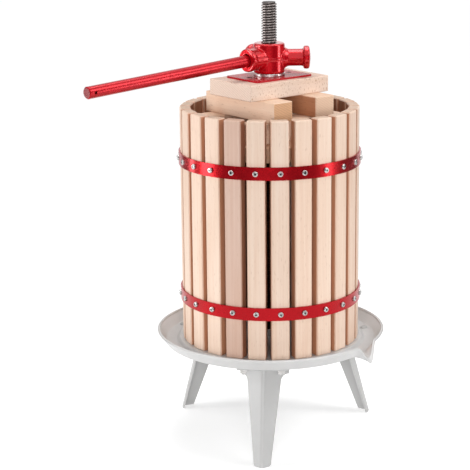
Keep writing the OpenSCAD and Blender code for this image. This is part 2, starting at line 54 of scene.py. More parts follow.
# The camera that fits the photograph
IMAGE_SIDE = 470
FOCAL_PIXELS = 1686.0
CENTRE_COLUMN = 270.11
SENSOR_WIDTH = 36.0
CAMERA_PLACE = Vector((0.0, -2.6, 0.9887))
CAMERA_PITCH = math.radians(14.35)
CAMERA_ROLL = math.radians(-0.29)

# The spindle's thread
THREAD_PITCH = 4.0 * MM
THREAD_DEPTH = 2.3 * MM
THREAD_SEGMENTS = 40
THREAD_BEVEL = 2.4 * MM
THREAD_RUN_IN = 1.5
THREAD_SPARE_TURNS = 2
# Corners of its outline: share of the pitch, and whether the corner is on the crest
THREAD_FORM = ((0.0, False), (0.24, False), (0.44, True), (0.76, True))

# The stack's long block, seen from above
STACK_TURN = math.radians(40.3)

# Plan angle of the first stave, and the step to the next
STAVE_TURN = math.radians(6.3)
STAVE_COUNT = 24
STAVE_STEP = 2 * math.pi / STAVE_COUNT

# Light
AMBIENT = 0.22
FLOOR_RADIUS = 14.0
FLOOR_SEGMENTS = 96
FLOOR_TONE = (0.82, 0.82, 0.82)
FLOOR_FAR_TONE = (0.05, 0.05, 0.05)
FLOOR_GLOW = 0.42
FLOOR_FADE = (0.35, 1.6)
WALL_TONE = (0.02, 0.02, 0.02)
WALL_RADIUS = 1.9
WALL_HEIGHT = 1.5
WALL_HALF = math.radians(140)
WALL_PANELS = 40
LAMP_AIM = Vector((0.0, 0.0, 0.34))
# Softboxes: name, place, width, height, watts
LAMPS = (
    ("left_box", (-1.6, -0.25, 0.52), 0.6, 1.0, 12.9),
    ("front_box", (0.0, -3.0, 0.85), 1.6, 1.0, 50.0),
    ("right_low_box", (1.6, -0.35, 0.62), 0.9, 1.2, 3.0),
    ("right_strip", (1.6, -0.40, 0.42), 0.25, 0.7, 3.2),
    ("left_strip", (-1.5, 0.55, 0.42), 0.25, 0.7, 3.2),
    ("right_box", (2.0, -0.5, 2.0), 1.2, 1.2, 18.5),
    ("top_box", (0.0, 0.4, 2.9), 1.6, 1.6, 34.0),
)

# Beech: its two tones, flecks and pores, and the tones of the pieces
BEECH_PALE = (0.87, 0.685, 0.56)
BEECH_WARM = (0.79, 0.57, 0.435)
FLECK_BROWN = (0.50, 0.30, 0.19)
PORE_BROWN = (0.42, 0.24, 0.14)
CUT_TONE = (0.86, 0.80, 0.74)
RING_CENTRE = (21.0 * MM, 34.0 * MM)
BLOCK_TONE = (0.96, 0.975, 1.0)
BLOCK_CUT_TONE = (1.02, 1.0, 0.98)
BAR_TONE = (1.0, 0.94, 0.87)
BAR_CUT_TONES = {"left_bar": (0.87, 0.69, 0.52), "right_bar": (1.0, 0.95, 0.90)}
LOWER_BAR_TONE = (1.0, 0.95, 0.90)
# The press boards' darker tone is painted shade, as they lie deep in the basket
BOARD_SHADE_TONE = (0.62, 0.46, 0.36)

# The one stave of a rosier log
ROSY_STAVE = 17
ROSY_TONE = (0.79, 0.725, 0.73)

# The rear stave that sits aside, so that no front gap looks straight through the basket
ASIDE_STAVE = 6
ASIDE_TURN = math.radians(-0.8)

# Painted shade: on the staves' cheeks and inner faces and the right bar's sides, in the thread's
# grooves, and on the spindle below the basket's rim
CHEEK_SHADE = (0.60, 0.37, 0.26)
INNER_SHADE = (0.36, 0.22, 0.15)
SPINDLE_SHADE = (0.035, 0.014, 0.008)
GROOVE_SHADE = (0.045, 0.035, 0.032)
RIM_HEIGHT = 540.0 * MM

# Paints and metals, each with the tone of its darker patches
HOOP_RED = ((0.45, 0.003, 0.009), (0.40, 0.002, 0.007))
PLATE_RED = ((0.46, 0.008, 0.016), (0.40, 0.006, 0.012))
CAST_RED = ((0.60, 0.004, 0.012), (0.52, 0.003, 0.009))
BAR_RED = ((0.48, 0.004, 0.012), (0.42, 0.003, 0.010))
# The legs take a darker and the pan a lighter copy of one white coat: painted shade and painted
# light
SHADED_LEG_WHITE = ((0.49, 0.487, 0.483), (0.465, 0.462, 0.457))
LIT_PAN_WHITE = ((0.675, 0.671, 0.666), (0.645, 0.64, 0.634))
BLACK_OXIDE = ((0.022, 0.017, 0.017), (0.014, 0.011, 0.011))
ZINC = ((0.62, 0.61, 0.60), (0.46, 0.45, 0.44))
BRIGHT_STEEL = ((0.80, 0.77, 0.76), (0.70, 0.67, 0.66))
OILED_STEEL = ((0.24, 0.215, 0.205), (0.13, 0.115, 0.11))
# Near-black metal for the screws' cross recesses: painted shade
RECESS_SHADE = ((0.035, 0.03, 0.028), (0.02, 0.018, 0.016))
CREST_STEEL = ((0.42, 0.37, 0.355), (0.29, 0.255, 0.245))
# Painted shade: the dark red of the bar's outer end face
SHADED_END_RED = (0.13, 0.006, 0.009)

# Hoop screws and their cross recess
SCREW_HEAD_RADIUS = 4.3 * MM
SCREW_HEAD_HEIGHT = 3.0 * MM
SCREW_CROWN = 1.8 * MM
SCREW_SHANK_RADIUS = 2.2 * MM
SCREW_SHANK_LENGTH = 13.0 * MM
RECESS_SPAN = 5.2 * MM
RECESS_SLOT = 1.5 * MM
RECESS_DEPTH = 1.9 * MM
RECESS_DRAW = 0.45
SCREW_SEGMENTS = 32

# Countersunk screws of the pressure plate
PLATE_SCREW_OUT = 40.0 * MM
PLATE_SCREW_HEAD = 4.0 * MM
PLATE_SCREW_SHANK = 2.0 * MM

# The pan's sheet: corners of its upper face from the spindle out, its bends, and the pressed spout
PAN_SHEET = 1.6 * MM
PAN_BEND = 3.5 * MM
PAN_STEP = 4.0 * MM
PAN_BEAD = 2.0 * MM
BEAD_STEPS = 14
BEAD_OPENING = 1.3
PAN_TURN = math.radians(2.0)
SPOUT_FINE_TURN = math.radians(0.5)
PAN_CORNERS = [(12.2 * MM, 160.5 * MM), (145.56 * MM, 160.5 * MM), (150.56 * MM, 155.5 * MM),
               (167.56 * MM, 155.5 * MM), (179.56 * MM, 171.5 * MM)]
SPOUT_TURN = math.radians(-33.0)
SPOUT_HALF = math.radians(8.6)
SPOUT_ROOT = 158.0 * MM
SPOUT_TIP = Vector((184.4 * MM, 146.2 * MM))

# The casting of the screw head
CAST_VOXEL = 0.75 * MM
CAST_SMOOTHING = 10
HEAD_AXIS_HEIGHT = 607.5 * MM
BORE_KEEP = 13.4 * MM
SOCKET_KEEP = 11.2 * MM
SOCKET_TURNS = (math.radians(222.8), math.radians(132.8))


# Node materials


class Shader:
    """A node material in the making, with short calls for the nodes that repeat."""

    def __init__(self, name):
        self.material = bpy.data.materials.new(name)
        self.material.use_nodes = True
        self.tree = self.material.node_tree
        self.bsdf = self.tree.nodes["Principled BSDF"]

    def node(self, kind, **settings):
        made = self.tree.nodes.new(kind)
        for key, value in settings.items():
            setattr(made, key, value)
        return made

    def link(self, source, target):
        self.tree.links.new(source, target)

    def put(self, socket, value):
        """Links an output, or sets a plain value."""
        if isinstance(value, bpy.types.NodeSocket):
            self.link(value, socket)
        else:
            socket.default_value = value

    def coordinates(self):
        return self.node("ShaderNodeTexCoord").outputs["Object"]

    def normal(self):
        return self.node("ShaderNodeTexCoord").outputs["Normal"]

    def dot(self, vector, direction):
        made = self.node("ShaderNodeVectorMath", operation="DOT_PRODUCT")
        self.put(made.inputs[0], vector)
        made.inputs[1].default_value = direction
        return made.outputs["Value"]

    def math(self, operation, first, second=0.0, clamp=False):
        made = self.node("ShaderNodeMath", operation=operation, use_clamp=clamp)
        self.put(made.inputs[0], first)
        self.put(made.inputs[1], second)
        return made.outputs["Value"]

    def combine(self, x, y, z):
        made = self.node("ShaderNodeCombineXYZ")
        for socket, value in zip(made.inputs, (x, y, z)):
            self.put(socket, value)
        return made.outputs["Vector"]

    def noise(self, vector, scale, detail=2.0, roughness=0.5, distortion=0.0):
        made = self.node("ShaderNodeTexNoise")
        self.put(made.inputs["Vector"], vector)
        made.inputs["Scale"].default_value = scale
        made.inputs["Detail"].default_value = detail
        made.inputs["Roughness"].default_value = roughness
        made.inputs["Distortion"].default_value = distortion
        return made.outputs["Fac"]

    def ramp(self, factor, stops):
        made = self.node("ShaderNodeValToRGB")
        self.put(made.inputs["Fac"], factor)
        elements = made.color_ramp.elements
        while len(elements) < len(stops):
            elements.new(0.5)
        for element, (place, colour) in zip(elements, stops):
            element.position = place
            element.color = (*colour, 1.0)
        return made.outputs["Color"]

    def remap(self, value, low, high, out_low=0.0, out_high=1.0):
        made = self.node("ShaderNodeMapRange")
        self.put(made.inputs["Value"], value)
        made.inputs["From Min"].default_value = low
        made.inputs["From Max"].default_value = high
        made.inputs["To Min"].default_value = out_low
        made.inputs["To Max"].default_value = out_high
        return made.outputs["Result"]

    def mix(self, factor, first, second, blend="MIX"):
        made = self.node("ShaderNodeMix", data_type="RGBA", blend_type=blend)
        self.put(made.inputs["Factor"], factor)
        for socket, value in ((made.inputs[6], first), (made.inputs[7], second)):
            self.put(socket, value if isinstance(value, bpy.types.NodeSocket) else (*value, 1.0))
        return made.outputs[2]

    def bump(self, height, distance, strength=1.0):
        made = self.node("ShaderNodeBump")
        made.inputs["Strength"].default_value = strength
        made.inputs["Distance"].default_value = distance
        self.link(height, made.inputs["Height"])
        self.link(made.outputs["Normal"], self.bsdf.inputs["Normal"])

    def finish(self, **values):
        """Sets the shader's own sockets by name and returns the material."""
        for key, value in values.items():
            socket = self.bsdf.inputs[key.replace("_", " ")]
            if isinstance(value, tuple):
                value = (*value, 1.0)
            self.put(socket, value)
        return self.material


def beech(name, along, side, tone, shift, flecks=0.5, fleck_shape=(1.0, 0.18), fleck_rarity=0.66,
          shade_direction=None, cut_tone=CUT_TONE):
    """Sanded beech with its grain along a direction. Side is a direction across the grain.

    Shift moves the figure, so that no two pieces share it. Cut_tone tints the end grain. The shade
    direction marks painted shade: the faces that look along it, either way, and those that look
    away from the side are painted darker, as in the gaps and inside the basket.
    """
    s = Shader(name)
    place = s.coordinates()
    up = along.cross(side)
    a = s.math("ADD", s.dot(place, side), shift)
    b = s.math("ADD", s.dot(place, up), shift * 0.7)
    g = s.dot(place, along)
    lines = s.combine(a, b, s.math("MULTIPLY", g, 0.02))
    slow = s.combine(a, b, s.math("MULTIPLY", g, 0.12))
    dash = s.combine(s.math("MULTIPLY", a, fleck_shape[0]), b, s.math("MULTIPLY", g, fleck_shape[1]))
    fine = s.noise(lines, 1100.0, 3.0, 0.6)
    streak = s.noise(lines, 260.0, 2.0, 0.55, 0.4)
    broad = s.noise(slow, 34.0, 2.0, 0.5, 0.6)
    pale = tuple(c * t for c, t in zip(BEECH_PALE, tone))
    warm = tuple(c * t for c, t in zip(BEECH_WARM, tone))
    figure = s.math("ADD", s.math("MULTIPLY", streak, 0.55), s.math("MULTIPLY", broad, 0.45))
    colour = s.ramp(s.remap(figure, 0.36, 0.68), [(0.0, pale), (1.0, warm)])
    colour = s.mix(s.remap(fine, 0.56, 0.72, 0.0, 0.28), colour, tuple(0.80 * c for c in warm))
    fleck = s.remap(s.noise(dash, 620.0, 1.0, 0.4), fleck_rarity, fleck_rarity + 0.08, 0.0, flecks)
    colour = s.mix(fleck, colour, FLECK_BROWN)
    end = s.remap(s.math("ABSOLUTE", s.dot(s.normal(), along)), 0.75, 0.9)
    centre = s.combine(s.math("ADD", a, RING_CENTRE[0]), s.math("ADD", b, RING_CENTRE[1]), 0.0)
    ring = s.node("ShaderNodeTexWave", wave_type="RINGS", rings_direction="Z")
    s.link(centre, ring.inputs["Vector"])
    ring.inputs["Scale"].default_value = 95.0
    ring.inputs["Distortion"].default_value = 2.5
    ring.inputs["Detail"].default_value = 2.0
    ring.inputs["Detail Scale"].default_value = 1.5
    pores = s.noise(s.combine(a, b, g), 1500.0, 2.0, 0.6)
    early = tuple(c * t for c, t in zip(pale, cut_tone))
    late = tuple(0.86 * c for c in early)
    cut = s.ramp(ring.outputs["Fac"], [(0.0, early), (1.0, late)])
    cut = s.mix(s.remap(pores, 0.5, 0.75, 0.0, 0.4), cut, PORE_BROWN)
    colour = s.mix(end, colour, cut)
    if shade_direction:
        # Painted shade on the cheeks and on the faces that look inward
        cheek_shade_mask = s.remap(s.math("ABSOLUTE", s.dot(s.normal(), shade_direction)), 0.55, 0.95)
        inner_shade_mask = s.remap(s.dot(s.normal(), side), -0.95, -0.55, 1.0, 0.0)
        colour = s.mix(cheek_shade_mask, colour, CHEEK_SHADE, "MULTIPLY")
        colour = s.mix(inner_shade_mask, colour, INNER_SHADE, "MULTIPLY")
    s.bump(s.math("SUBTRACT", fine, s.math("MULTIPLY", fleck, 0.5)), 0.12 * MM, 0.5)
    rough = s.remap(streak, 0.3, 0.7, 0.5, 0.62)
    return s.finish(Base_Color=colour, Roughness=rough, Specular_IOR_Level=0.35)


def enamel(name, colours, roughness, peel, specular, wave=0.0, flake=0.0, coat=0.0,
           coat_roughness=0.06, shaded_end=None):
    """Painted metal: a slightly uneven coat with a faint orange-peel surface.

    Peel is the height of that surface, and wave the share of slower swells in it. Flake is the
    share of metal flake in the paint, and coat the weight of a clear coat. The faces that look
    along the shaded end direction are painted dark red: painted shade.
    """
    s = Shader(name)
    place = s.coordinates()
    cloud = s.noise(place, 22.0, 3.0, 0.55)
    tint = s.mix(s.remap(cloud, 0.35, 0.7), *colours)
    # Painted shade: the faces that look along the shaded end turn dark red
    if shaded_end:
        tint = s.mix(s.remap(s.dot(s.normal(), shaded_end), 0.9, 0.98), tint, SHADED_END_RED)
    skin = s.noise(place, 900.0, 2.0, 0.5)
    swell = s.noise(place, 190.0, 2.0, 0.5)
    height = s.math("ADD", s.math("MULTIPLY", skin, 0.25), s.math("MULTIPLY", swell, wave))
    s.bump(height, peel, 0.6)
    rough = s.remap(s.noise(place, 70.0, 3.0, 0.6), 0.3, 0.7, roughness * 0.85, roughness * 1.2)
    return s.finish(Base_Color=tint, Roughness=rough, Specular_IOR_Level=specular, Metallic=flake,
                    Coat_Weight=coat, Coat_Roughness=coat_roughness)


def bare_metal(name, colours, roughness, brushed):
    """Bare or plated steel with fine brushing and a little tarnish."""
    s = Shader(name)
    place = s.coordinates()
    cloud = s.noise(place, 120.0, 4.0, 0.6)
    tint = s.mix(s.remap(cloud, 0.35, 0.7), *colours)
    scratch = s.noise(place, 2600.0, 2.0, 0.6)
    s.bump(scratch, brushed, 0.5)
    rough = s.remap(cloud, 0.3, 0.7, roughness * 0.8, roughness * 1.3)
    return s.finish(Base_Color=tint, Roughness=rough, Metallic=1.0)


def thread_steel(name, root, outer):
    """Oiled steel of a thread: worn crests; grooves and the steel below the basket's rim in painted
    shade.
    """
    s = Shader(name)
    place = s.coordinates()
    parts = s.node("ShaderNodeSeparateXYZ")
    s.link(place, parts.inputs["Vector"])
    radius = s.node("ShaderNodeVectorMath", operation="LENGTH")
    s.link(s.combine(parts.outputs["X"], parts.outputs["Y"], 0.0), radius.inputs[0])
    cloud = s.noise(place, 120.0, 4.0, 0.6)
    tint = s.mix(s.remap(cloud, 0.35, 0.7), *CREST_STEEL)
    # Painted shade: the grooves turn near-black by radius
    tint = s.mix(s.remap(radius.outputs["Value"], root, outer), GROOVE_SHADE, tint)
    # Painted shade: the steel below the basket's rim turns dark brown
    tint = s.mix(s.remap(parts.outputs["Z"], RIM_HEIGHT - 60 * MM, RIM_HEIGHT), SPINDLE_SHADE, tint)
    s.bump(s.noise(place, 2600.0, 2.0, 0.6), 0.03 * MM, 0.5)
    return s.finish(Base_Color=tint, Roughness=s.remap(cloud, 0.3, 0.7, 0.34, 0.48), Metallic=0.7,
                    Specular_IOR_Level=0.2)


def dress(node, material):
    """Gives a CAD node its finish."""
    slots = NODES[node].data.materials
    slots.clear()
    slots.append(material)


def mesh_piece(name, bm, materials, body, node, smooth_angle=35):
    """Turns a bmesh into a piece that rides on a body and stands for a CAD node."""
    mesh = bpy.data.meshes.new(name)
    bm.to_mesh(mesh)
    bm.free()
    mesh.shade_smooth()
    mesh.set_sharp_from_angle(angle=math.radians(smooth_angle))
    for material in materials:
        mesh.materials.append(material)
    piece = bpy.data.objects.new(name, mesh)
    bpy.context.scene.collection.objects.link(piece)
    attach(piece, body)
    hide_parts(node)


def plan_direction(angle):
    return Vector((math.cos(angle), math.sin(angle), 0.0))


def lathe(bm, outline, segments):
    """Adds the closed body that a half outline of (radius, height) points makes round Z."""
    rings = []
    for radius, height in outline:
        if radius < 1e-9:
            rings.append([bm.verts.new((0, 0, height))])
            continue
        turns = [2 * math.pi * k / segments for k in range(segments)]
        rings.append([bm.verts.new((radius * math.cos(t), radius * math.sin(t), height))
                      for t in turns])
    for low, high in zip(rings, rings[1:]):
        for k in range(segments):
            corners = [low[k % len(low)], low[(k + 1) % len(low)],
                       high[(k + 1) % len(high)], high[k % len(high)]]
            bm.faces.new(list(dict.fromkeys(corners)))


def wedge_bar(bm, length, width, top, bottom):
    """Adds a bar across Z whose sides draw in from its top to its bottom."""
    corners = []
    for z, share in ((bottom, RECESS_DRAW), (top, 1.0)):
        for x, y in ((-1, -1), (1, -1), (1, 1), (-1, 1)):
            wide = (0.5 + share / 2) * width
            corners.append(bm.verts.new((x * share * length / 2, y * wide / 2, z)))
    sides = ((0, 1, 5, 4), (1, 2, 6, 5), (2, 3, 7, 6), (3, 0, 4, 7))
    for face in ((3, 2, 1, 0), (4, 5, 6, 7), *sides):
        bm.faces.new([corners[i] for i in face])


def loose_object(name, bm):
    """An object from a bmesh, for the stage or as a step on the way to a piece."""
    mesh = bpy.data.meshes.new(name)
    bm.to_mesh(mesh)
    bm.free()
    made = bpy.data.objects.new(name, mesh)
    bpy.context.scene.collection.objects.link(made)
    return made


def evaluated_mesh(made):
    """The mesh of an object with its modifiers applied."""
    graph = bpy.context.evaluated_depsgraph_get()
    return bpy.data.meshes.new_from_object(made.evaluated_get(graph))


def cut_mesh(body, tools):
    """The mesh of a body less its cutting tools. All of them are removed."""
    for tool in tools:
        cut = body.modifiers.new("cut", "BOOLEAN")
        cut.operation = "DIFFERENCE"
        cut.solver = "EXACT"
        cut.object = tool
    done = evaluated_mesh(body)
    for made in (body, *tools):
        bpy.data.objects.remove(made)
    return done


def crossed(outline, top):
    """A screw from its outline, with a cross recess in its top that takes the second material,
    painted shade.
    """
    bm = bmesh.new()
    lathe(bm, outline, SCREW_SEGMENTS)
    bmesh.ops.recalc_face_normals(bm, faces=bm.faces[:])
    screw = loose_object("screw", bm)
    tools = []
    for turn in (0.0, math.pi / 2):
        bm = bmesh.new()
        wedge_bar(bm, RECESS_SPAN, RECESS_SLOT, top + 0.5 * RECESS_DEPTH, top - RECESS_DEPTH)
        bmesh.ops.rotate(bm, verts=bm.verts[:], matrix=Matrix.Rotation(turn, 3, "Z"))
        tools.append(loose_object("recess", bm))
    mesh = cut_mesh(screw, tools)
    for face in mesh.polygons:
        middle = face.center
        inside = middle.z > top - 1.1 * RECESS_DEPTH and middle.xy.length < 0.55 * RECESS_SPAN
        if inside and (face.normal.z < 0.7 or middle.z < top - 0.5 * RECESS_DEPTH):
            face.material_index = 1
    return mesh


def copies(mesh, places):
    """One bmesh with a copy of a mesh at each place."""
    bm = bmesh.new()
    for place in places:
        part = mesh.copy()
        part.transform(place)
        bm.from_mesh(part)
        bpy.data.meshes.remove(part)
    return bm


# Wood

UP = Vector((0, 0, 1))
ALONG_BLOCK = plan_direction(STACK_TURN)
ALONG_BARS = plan_direction(STACK_TURN + math.pi / 2)


def dress_staves():
    draw = random.Random(7)
    for i in range(STAVE_COUNT):
        across = plan_direction(STAVE_TURN + i * STAVE_STEP)
        light = 1.0 + draw.uniform(-0.035, 0.03)
        warmth = draw.uniform(-0.02, 0.02)
        tone = (light, light - warmth, light - 1.5 * warmth)
        if i + 1 == ROSY_STAVE:
            tone = ROSY_TONE
        # The staves' cheeks and inner faces are painted darker: painted shade
        wood = beech(f"stave_beech_{i + 1:02d}", UP, across, tone, draw.uniform(0, 5), 0.3,
                     shade_direction=across.cross(UP))
        dress(f"stave_{i + 1:02d}", wood)
        if i + 1 == ASIDE_STAVE:
            stave_aside(f"stave_{i + 1:02d}", wood)


def stave_aside(node, wood):
    """A stave a little off its even place, as staves screwed on by hand are."""
    bm = bmesh.new()
    bm.from_mesh(NODES[node].data)
    bmesh.ops.rotate(bm, verts=bm.verts[:], matrix=Matrix.Rotation(ASIDE_TURN, 3, "Z"))
    mesh_piece(f"{node}_aside", bm, [wood], "base", node)


def dress_stack():
    block = beech("block_beech", ALONG_BLOCK, UP, BLOCK_TONE, 1.3, flecks=0.75,
                  fleck_shape=(0.42, 0.9), fleck_rarity=0.6, cut_tone=BLOCK_CUT_TONE)
    dress("top_block", block)
    for i, (node, end) in enumerate(BAR_CUT_TONES.items()):
        # The right bar's long sides are painted darker: painted shade
        dark = ALONG_BLOCK if node == "right_bar" else None
        dress(node, beech(f"bar_beech_{i + 1}", ALONG_BARS, UP, BAR_TONE, 2.1 + i, shade_direction=dark,
                          cut_tone=end))
    for i, node in enumerate(("front_lower_bar", "rear_lower_bar")):
        dress(node, beech(f"lower_bar_beech_{i + 1}", ALONG_BLOCK, UP, LOWER_BAR_TONE, 5.2 + i))
    # The boards' darker tone is painted shade
    for i, node in enumerate(("front_press_board", "rear_press_board")):
        dress(node, beech(f"board_beech_{i + 1}", ALONG_BLOCK, UP, BOARD_SHADE_TONE, 3.7 + i))


# Painted and bare metal


def dress_metal():
    """Finishes the metal nodes and returns the finishes that built pieces share."""
    hoop_red = enamel("hoop_red", HOOP_RED, 0.25, 0.05 * MM, 0.2, flake=0.82, coat=0.2,
                      coat_roughness=0.16)
    plate_red = enamel("plate_red", PLATE_RED, 0.26, 0.04 * MM, 0.2, flake=0.1)
    gloss_red = enamel("gloss_red", CAST_RED, 0.22, 0.30 * MM, 0.2, wave=0.9, flake=0.5, coat=0.75)
    # The bar's outer end face is painted dark red: painted shade
    bar_red = enamel("bar_red", BAR_RED, 0.26, 0.012 * MM, 0.2, flake=0.5, coat=0.2,
                     coat_roughness=0.16, shaded_end=plan_direction(SOCKET_TURNS[0]))
    # Legs darker than the pan, the same coat: painted shade and painted light
    white = enamel("white_coat", SHADED_LEG_WHITE, 0.36, 0.05 * MM, 0.45)
    pan_white = enamel("pan_white", LIT_PAN_WHITE, 0.36, 0.05 * MM, 0.45)
    zinc = bare_metal("zinc_plate", ZINC, 0.26, 0.02 * MM)
    washer = bare_metal("bright_washer", BRIGHT_STEEL, 0.30, 0.02 * MM)
    steel = bare_metal("oiled_steel", OILED_STEEL, 0.32, 0.03 * MM)
    black = enamel("black_oxide", BLACK_OXIDE, 0.55, 0.02 * MM, 0.1)
    # Near-black metal in the cross recesses: painted shade
    recess_shade_metal = bare_metal("painted_recess_shade", RECESS_SHADE, 0.55, 0.02 * MM)
    for node in ("lower_hoop", "upper_hoop"):
        dress(node, hoop_red)
    dress("pressure_plate", plate_red)
    dress("handle_bar", bar_red)
    for node in ("front_leg", "right_leg", "left_leg", "leg_bolts"):
        dress(node, white)
    for node in ("leg_washers", "leg_nuts", "spindle_upper_nut", "spindle_lower_nut"):
        dress(node, zinc)
    dress("thrust_washer", washer)
    dress("backing_plate", steel)
    return gloss_red, pan_white, zinc, black, recess_shade_metal


# Screws


def hoop_screws(materials):
    arc = [math.pi / 2 * k / 6 for k in range(7)]
    crown = [(SCREW_HEAD_RADIUS - SCREW_CROWN + SCREW_CROWN * math.cos(t),
              SCREW_HEAD_HEIGHT - SCREW_CROWN + SCREW_CROWN * math.sin(t)) for t in arc]
    outline = [(0, -SCREW_SHANK_LENGTH), (SCREW_SHANK_RADIUS, -SCREW_SHANK_LENGTH),
               (SCREW_SHANK_RADIUS, 0), (SCREW_HEAD_RADIUS, 0), *crown, (0, SCREW_HEAD_HEIGHT)]
    screw = crossed(outline, SCREW_HEAD_HEIGHT)
    draw = random.Random(11)
    for hoop in ("lower_hoop", "upper_hoop"):
        low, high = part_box(hoop)
        places = []
        for i in range(STAVE_COUNT):
            turn = Matrix.Rotation(STAVE_TURN + i * STAVE_STEP, 4, "Z")
            spin = Matrix.Rotation(draw.uniform(0, math.pi), 4, "Z")
            lay = Matrix.Rotation(math.pi / 2, 4, "Y") @ spin
            places.append(turn @ Matrix.Translation((high.x, 0, (low.z + high.z) / 2)) @ lay)
        mesh_piece(f"{hoop}_cross_screws", copies(screw, places), materials, "base",
                   f"{hoop}_screws")
    bpy.data.meshes.remove(screw)


def plate_screws(materials):
    low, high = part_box("plate_screws")
    sink = PLATE_SCREW_HEAD - PLATE_SCREW_SHANK
    outline = [(0, low.z - high.z), (PLATE_SCREW_SHANK, low.z - high.z),
               (PLATE_SCREW_SHANK, -sink), (PLATE_SCREW_HEAD, 0), (0, 0)]
    screw = crossed(outline, 0.0)
    places = []
    for side, turn in ((-1, 0.5), (1, 1.1)):
        middle = side * PLATE_SCREW_OUT * ALONG_BLOCK + Vector((0, 0, high.z))
        places.append(Matrix.Translation(middle) @ Matrix.Rotation(turn, 4, "Z"))
    mesh_piece("plate_cross_screws", copies(screw, places), materials, "press_stack",
               "plate_screws")
    bpy.data.meshes.remove(screw)


# Pan


def rounded_path(corners, radius, steps=6):
    """A path in the plane with an arc at each inner corner."""
    points = [Vector(corners[0])]
    for before, corner, after in zip(corners, corners[1:], corners[2:]):
        corner = Vector(corner)
        u = (Vector(before) - corner).normalized()
        v = (Vector(after) - corner).normalized()
        half = u.angle(v) / 2
        centre = corner + (u + v).normalized() * radius / math.sin(half)
        start = corner + u * radius / math.tan(half) - centre
        end = corner + v * radius / math.tan(half) - centre
        sweep = start.angle_signed(end)
        for k in range(steps + 1):
            t = -sweep * k / steps
            points.append(centre + Vector((start.x * math.cos(t) - start.y * math.sin(t),
                                           start.x * math.sin(t) + start.y * math.cos(t))))
    points.append(Vector(corners[-1]))
    return points


def spread(path, step):
    """A path with points no further apart than the step."""
    points = [path[0]]
    for a, b in zip(path, path[1:]):
        count = max(1, math.ceil((b - a).length / step))
        points += [a.lerp(b, k / count) for k in range(1, count + 1)]
    return points


def sheet_loop():
    """Closed outline of the pan's sheet in (radius, height): upper face, rolled rim, lower face."""
    upper = spread(rounded_path(PAN_CORNERS, PAN_BEND), PAN_STEP)
    lower = []
    for i, point in enumerate(upper):
        run = upper[min(i + 1, len(upper) - 1)] - upper[max(i - 1, 0)]
        lower.append(point + Vector((run.y, -run.x)).normalized() * PAN_SHEET)
    along = (upper[-1] - upper[-2]).normalized()
    start = math.atan2(along.x, -along.y)
    first = math.pi - start
    rim = []
    for k in range(1, BEAD_STEPS):
        t = first - (2 * math.pi - BEAD_OPENING) * k / BEAD_STEPS
        rim.append(upper[-1] + PAN_BEAD * Vector((math.cos(t), math.sin(t))))
    return upper[:-1] + rim + lower[::-1]


def press_spout(point, weight):
    """Moves a point of the wall towards the channel that runs out and down to the spout's tip."""
    root = Vector((SPOUT_ROOT, PAN_CORNERS[3][1]))
    rim = Vector(PAN_CORNERS[4])
    share = (point.x - root.x) / (rim.x - root.x)
    if share <= 0:
        return point
    share = min(share, 1.0 + PAN_BEAD / (rim.x - root.x))
    foot = Vector(PAN_CORNERS[3])
    wall = root.lerp(foot, min(1.0, share * (rim.x - root.x) / (foot.x - root.x)))
    if point.x > foot.x:
        wall = foot.lerp(rim, (point.x - foot.x) / (rim.x - foot.x))
    channel = root.lerp(SPOUT_TIP, share)
    return point + weight * (channel - wall)


def pressed_pan(material):
    """The pan with a spout that flows out of its wall, as a pressed sheet does."""
    loop = sheet_loop()
    turns = []
    angle = -math.pi
    while angle < math.pi - 1e-6:
        turns.append(angle)
        angle += SPOUT_FINE_TURN if abs(angle) < 2 * SPOUT_HALF else PAN_TURN
    bm = bmesh.new()
    rings = []
    for turn in turns:
        weight = 0.5 + 0.5 * math.cos(math.pi * min(abs(turn) / SPOUT_HALF, 1.0))
        ring = []
        for point in loop:
            flat = press_spout(point, weight)
            place = flat.x * plan_direction(SPOUT_TURN + turn)
            ring.append(bm.verts.new((place.x, place.y, flat.y)))
        rings.append(ring)
    for ring, after in zip(rings, rings[1:] + rings[:1]):
        for k in range(len(loop)):
            j = (k + 1) % len(loop)
            bm.faces.new((ring[k], after[k], after[j], ring[j]))
    bmesh.ops.recalc_face_normals(bm, faces=bm.faces[:])
    mesh_piece("pressed_pan", bm, [material], "base", "pan", smooth_angle=50)


# Screw head


def cast_head(material):
    """The head as a casting: its joins are blended, its bores stay as they are."""
    bm = bmesh.new()
    bm.from_mesh(NODES["screw_head"].data)
    rough = loose_object("rough_casting", bm)
    voxels = rough.modifiers.new("voxels", "REMESH")
    voxels.mode = "VOXEL"
    voxels.voxel_size = CAST_VOXEL
    mesh = evaluated_mesh(rough)
    bpy.data.objects.remove(rough)
    bm = bmesh.new()
    bm.from_mesh(mesh)
    bpy.data.meshes.remove(mesh)
    axes = [plan_direction(turn) for turn in SOCKET_TURNS]

    def in_bore(place):
        if place.xy.length < BORE_KEEP:
            return True
        lift = place - Vector((0, 0, HEAD_AXIS_HEIGHT))
        return any(lift.dot(axis) > 0 and (lift - lift.dot(axis) * axis).length < SOCKET_KEEP
                   for axis in axes)

    free = [v for v in bm.verts if not in_bore(v.co)]
    for _ in range(CAST_SMOOTHING):
        bmesh.ops.smooth_vert(bm, verts=free, factor=0.5, use_axis_x=True, use_axis_y=True,
                              use_axis_z=True)
    mesh_piece("cast_head", bm, [material], "press_head", "screw_head",
               smooth_angle=50)


# Spindle with its thread


